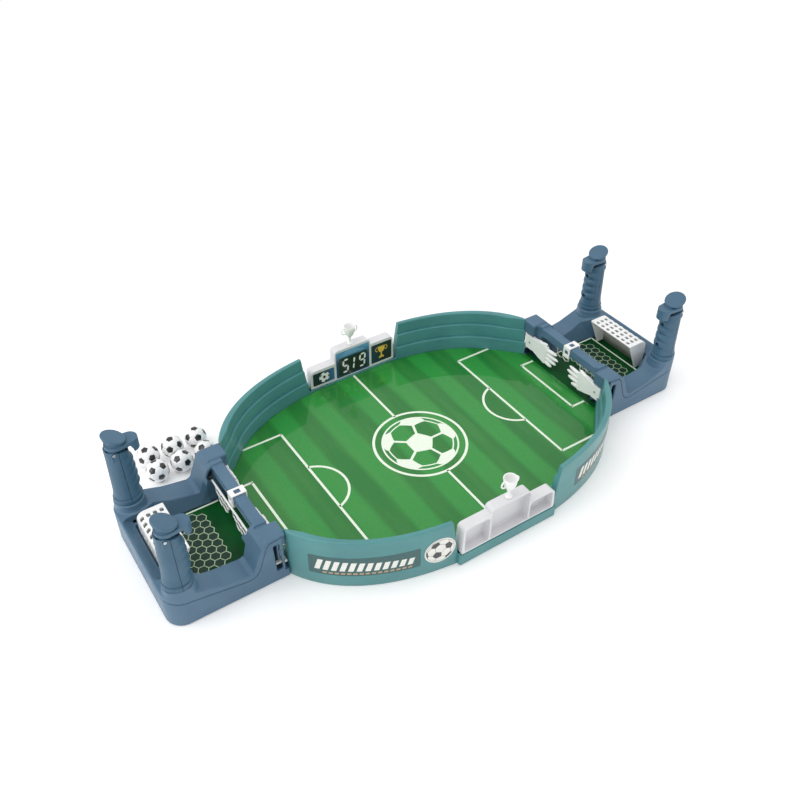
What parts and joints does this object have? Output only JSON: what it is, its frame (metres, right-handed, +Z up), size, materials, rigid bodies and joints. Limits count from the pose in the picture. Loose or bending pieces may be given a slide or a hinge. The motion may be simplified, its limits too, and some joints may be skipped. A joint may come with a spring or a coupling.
{
  "type": "tabletop finger football game",
  "caption": "Oval walled table football pitch with a goal unit at each end, upright hand grips whose thumb levers swing glove-shaped flippers, score stands with cups, and loose balls.",
  "frame": {"origin": "centre of the bounding box in plan, at the ground under the bases", "axes": "+X from the left goal to the right goal, +Y towards the rear score stand, +Z up"},
  "size_m": [0.576, 0.28, 0.1162],
  "materials": {
    "teal_plastic": "satin moulded plastic, teal",
    "blue_plastic": "satin moulded plastic, grey blue",
    "printed_sheet": "glossy printed pitch, mown stripes and cream lines",
    "white_plastic": "satin white plastic",
    "white_linkage": "plain white low-friction plastic",
    "steel": "plated steel wire and pin",
    "ball_plastic": "glossy white with dark pentagons"
  },
  "bodies": {
    "table": {"table_body": "teal_plastic", "pitch_sheet": "printed_sheet", "rear_stand": "white_plastic", "rear_cup": "white_plastic", "front_stand": "white_plastic", "front_cup": "white_plastic", "left_base": "blue_plastic", "left_cover": "blue_plastic", "left_goal": "white_plastic", "left_goal_floor": "printed_sheet", "left_front_grip_palm": "blue_plastic", "left_front_grip_finger": "blue_plastic", "left_front_lever_pin": "steel", "left_front_return_spring": "steel", "left_rear_grip_palm": "blue_plastic", "left_rear_grip_finger": "blue_plastic", "left_rear_lever_pin": "steel", "left_rear_return_spring": "steel", "right_base": "blue_plastic", "right_cover": "blue_plastic", "right_goal": "white_plastic", "right_goal_floor": "printed_sheet", "right_front_grip_palm": "blue_plastic", "right_front_grip_finger": "blue_plastic", "right_front_lever_pin": "steel", "right_front_return_spring": "steel", "right_rear_grip_palm": "blue_plastic", "right_rear_grip_finger": "blue_plastic", "right_rear_lever_pin": "steel", "right_rear_return_spring": "steel"},
    "left_front_lever": {"left_front_thumb_lever": "blue_plastic"},
    "left_front_rod": {"left_front_push_rod": "white_linkage"},
    "left_front_crank": {"left_front_bell_crank": "white_linkage"},
    "left_front_link": {"left_front_link_bar": "white_linkage"},
    "left_front_glove": {"left_front_hand": "white_plastic"},
    "left_rear_lever": {"left_rear_thumb_lever": "blue_plastic"},
    "left_rear_rod": {"left_rear_push_rod": "white_linkage"},
    "left_rear_crank": {"left_rear_bell_crank": "white_linkage"},
    "left_rear_link": {"left_rear_link_bar": "white_linkage"},
    "left_rear_glove": {"left_rear_hand": "white_plastic"},
    "right_front_lever": {"right_front_thumb_lever": "blue_plastic"},
    "right_front_rod": {"right_front_push_rod": "white_linkage"},
    "right_front_crank": {"right_front_bell_crank": "white_linkage"},
    "right_front_link": {"right_front_link_bar": "white_linkage"},
    "right_front_glove": {"right_front_hand": "white_plastic"},
    "right_rear_lever": {"right_rear_thumb_lever": "blue_plastic"},
    "right_rear_rod": {"right_rear_push_rod": "white_linkage"},
    "right_rear_crank": {"right_rear_bell_crank": "white_linkage"},
    "right_rear_link": {"right_rear_link_bar": "white_linkage"},
    "right_rear_glove": {"right_rear_hand": "white_plastic"},
    "left_slider": {"left_score_slider": "white_plastic"},
    "left_net": {"left_net_flap": "white_plastic"},
    "right_slider": {"right_score_slider": "white_plastic"},
    "right_net": {"right_net_flap": "white_plastic"},
    "loose_ball_1": {"ball_1": "ball_plastic"},
    "loose_ball_2": {"ball_2": "ball_plastic"},
    "loose_ball_3": {"ball_3": "ball_plastic"},
    "loose_ball_4": {"ball_4": "ball_plastic"},
    "loose_ball_5": {"ball_5": "ball_plastic"},
    "loose_ball_6": {"ball_6": "ball_plastic"}
  },
  "joints": [
    {"name": "left_front_lever_press", "type": "hinge", "parent": "table", "child": "left_front_lever", "pos_m": [-0.276, -0.0555, 0.099], "axis": [0, 1, 0], "range_deg": [0, 15]},
    {"name": "left_front_rod_push", "type": "slide", "parent": "table", "child": "left_front_rod", "axis": [0, 0, -1], "range_m": [0, 0.0023], "deforming": ["left_front_return_spring"]},
    {"name": "left_front_crank_turn", "type": "hinge", "parent": "table", "child": "left_front_crank", "pos_m": [-0.2616, -0.057, 0.0075], "axis": [0, -1, 0], "range_deg": [0, 21.5]},
    {"name": "left_front_link_slide", "type": "slide", "parent": "table", "child": "left_front_link", "axis": [-1, 0, 0], "range_m": [0, 0.0034]},
    {"name": "left_front_hand_swing", "type": "hinge", "parent": "table", "child": "left_front_glove", "pos_m": [-0.184, -0.057, 0.0276], "axis": [0, 0, -1], "range_deg": [0, 38]},
    {"name": "left_rear_lever_press", "type": "hinge", "parent": "table", "child": "left_rear_lever", "pos_m": [-0.276, 0.0555, 0.099], "axis": [0, 1, 0], "range_deg": [0, 15]},
    {"name": "left_rear_rod_push", "type": "slide", "parent": "table", "child": "left_rear_rod", "axis": [0, 0, -1], "range_m": [0, 0.0023], "deforming": ["left_rear_return_spring"]},
    {"name": "left_rear_crank_turn", "type": "hinge", "parent": "table", "child": "left_rear_crank", "pos_m": [-0.2616, 0.057, 0.0075], "axis": [0, -1, 0], "range_deg": [0, 21.5]},
    {"name": "left_rear_link_slide", "type": "slide", "parent": "table", "child": "left_rear_link", "axis": [-1, 0, 0], "range_m": [0, 0.0034]},
    {"name": "left_rear_hand_swing", "type": "hinge", "parent": "table", "child": "left_rear_glove", "pos_m": [-0.184, 0.057, 0.0276], "axis": [0, 0, 1], "range_deg": [0, 38]},
    {"name": "right_front_lever_press", "type": "hinge", "parent": "table", "child": "right_front_lever", "pos_m": [0.276, -0.0555, 0.099], "axis": [0, -1, 0], "range_deg": [0, 15]},
    {"name": "right_front_rod_push", "type": "slide", "parent": "table", "child": "right_front_rod", "axis": [0, 0, -1], "range_m": [0, 0.0023], "deforming": ["right_front_return_spring"]},
    {"name": "right_front_crank_turn", "type": "hinge", "parent": "table", "child": "right_front_crank", "pos_m": [0.2616, -0.057, 0.0075], "axis": [0, 1, 0], "range_deg": [0, 21.5]},
    {"name": "right_front_link_slide", "type": "slide", "parent": "table", "child": "right_front_link", "axis": [1, 0, 0], "range_m": [0, 0.0034]},
    {"name": "right_front_hand_swing", "type": "hinge", "parent": "table", "child": "right_front_glove", "pos_m": [0.184, -0.057, 0.0276], "axis": [0, 0, 1], "range_deg": [0, 38]},
    {"name": "right_rear_lever_press", "type": "hinge", "parent": "table", "child": "right_rear_lever", "pos_m": [0.276, 0.0555, 0.099], "axis": [0, -1, 0], "range_deg": [0, 15]},
    {"name": "right_rear_rod_push", "type": "slide", "parent": "table", "child": "right_rear_rod", "axis": [0, 0, -1], "range_m": [0, 0.0023], "deforming": ["right_rear_return_spring"]},
    {"name": "right_rear_crank_turn", "type": "hinge", "parent": "table", "child": "right_rear_crank", "pos_m": [0.2616, 0.057, 0.0075], "axis": [0, 1, 0], "range_deg": [0, 21.5]},
    {"name": "right_rear_link_slide", "type": "slide", "parent": "table", "child": "right_rear_link", "axis": [1, 0, 0], "range_m": [0, 0.0034]},
    {"name": "right_rear_hand_swing", "type": "hinge", "parent": "table", "child": "right_rear_glove", "pos_m": [0.184, 0.057, 0.0276], "axis": [0, 0, -1], "range_deg": [0, 38]},
    {"name": "left_slider_slide", "type": "slide", "parent": "table", "child": "left_slider", "axis": [0, 1, 0], "range_m": [-0.033, 0.033]},
    {"name": "left_net_swing", "type": "hinge", "parent": "table", "child": "left_net", "pos_m": [-0.2016, 0, 0.0366], "axis": [0, 1, 0], "range_deg": [-30, 60]},
    {"name": "right_slider_slide", "type": "slide", "parent": "table", "child": "right_slider", "axis": [0, 1, 0], "range_m": [-0.033, 0.033]},
    {"name": "right_net_swing", "type": "hinge", "parent": "table", "child": "right_net", "pos_m": [0.2016, 0, 0.0366], "axis": [0, -1, 0], "range_deg": [-30, 60]},
    {"name": "ball_1_lift", "type": "slide", "parent": "table", "child": "loose_ball_1", "axis": [0, 0, 1], "range_m": [0, 0.05]},
    {"name": "ball_2_lift", "type": "slide", "parent": "table", "child": "loose_ball_2", "axis": [0, 0, 1], "range_m": [0, 0.05]},
    {"name": "ball_3_lift", "type": "slide", "parent": "table", "child": "loose_ball_3", "axis": [0, 0, 1], "range_m": [0, 0.05]},
    {"name": "ball_4_lift", "type": "slide", "parent": "table", "child": "loose_ball_4", "axis": [0, 0, 1], "range_m": [0, 0.05]},
    {"name": "ball_5_lift", "type": "slide", "parent": "table", "child": "loose_ball_5", "axis": [0, 0, 1], "range_m": [0, 0.05]},
    {"name": "ball_6_lift", "type": "slide", "parent": "table", "child": "loose_ball_6", "axis": [0, 0, 1], "range_m": [0, 0.05]}
  ],
  "couplings": [
    {"joint": "left_front_rod_push", "follows": "left_front_lever_press", "m_per_rad": 0.0084},
    {"joint": "left_front_crank_turn", "follows": "left_front_lever_press", "ratio": 1.4},
    {"joint": "left_front_link_slide", "follows": "left_front_lever_press", "m_per_rad": 0.0126},
    {"joint": "left_front_hand_swing", "follows": "left_front_lever_press", "ratio": 2.52},
    {"joint": "left_rear_rod_push", "follows": "left_rear_lever_press", "m_per_rad": 0.0084},
    {"joint": "left_rear_crank_turn", "follows": "left_rear_lever_press", "ratio": 1.4},
    {"joint": "left_rear_link_slide", "follows": "left_rear_lever_press", "m_per_rad": 0.0126},
    {"joint": "left_rear_hand_swing", "follows": "left_rear_lever_press", "ratio": 2.52},
    {"joint": "right_front_rod_push", "follows": "right_front_lever_press", "m_per_rad": 0.0084},
    {"joint": "right_front_crank_turn", "follows": "right_front_lever_press", "ratio": 1.4},
    {"joint": "right_front_link_slide", "follows": "right_front_lever_press", "m_per_rad": 0.0126},
    {"joint": "right_front_hand_swing", "follows": "right_front_lever_press", "ratio": 2.52},
    {"joint": "right_rear_rod_push", "follows": "right_rear_lever_press", "m_per_rad": 0.0084},
    {"joint": "right_rear_crank_turn", "follows": "right_rear_lever_press", "ratio": 1.4},
    {"joint": "right_rear_link_slide", "follows": "right_rear_lever_press", "m_per_rad": 0.0126},
    {"joint": "right_rear_hand_swing", "follows": "right_rear_lever_press", "ratio": 2.52}
  ]
}
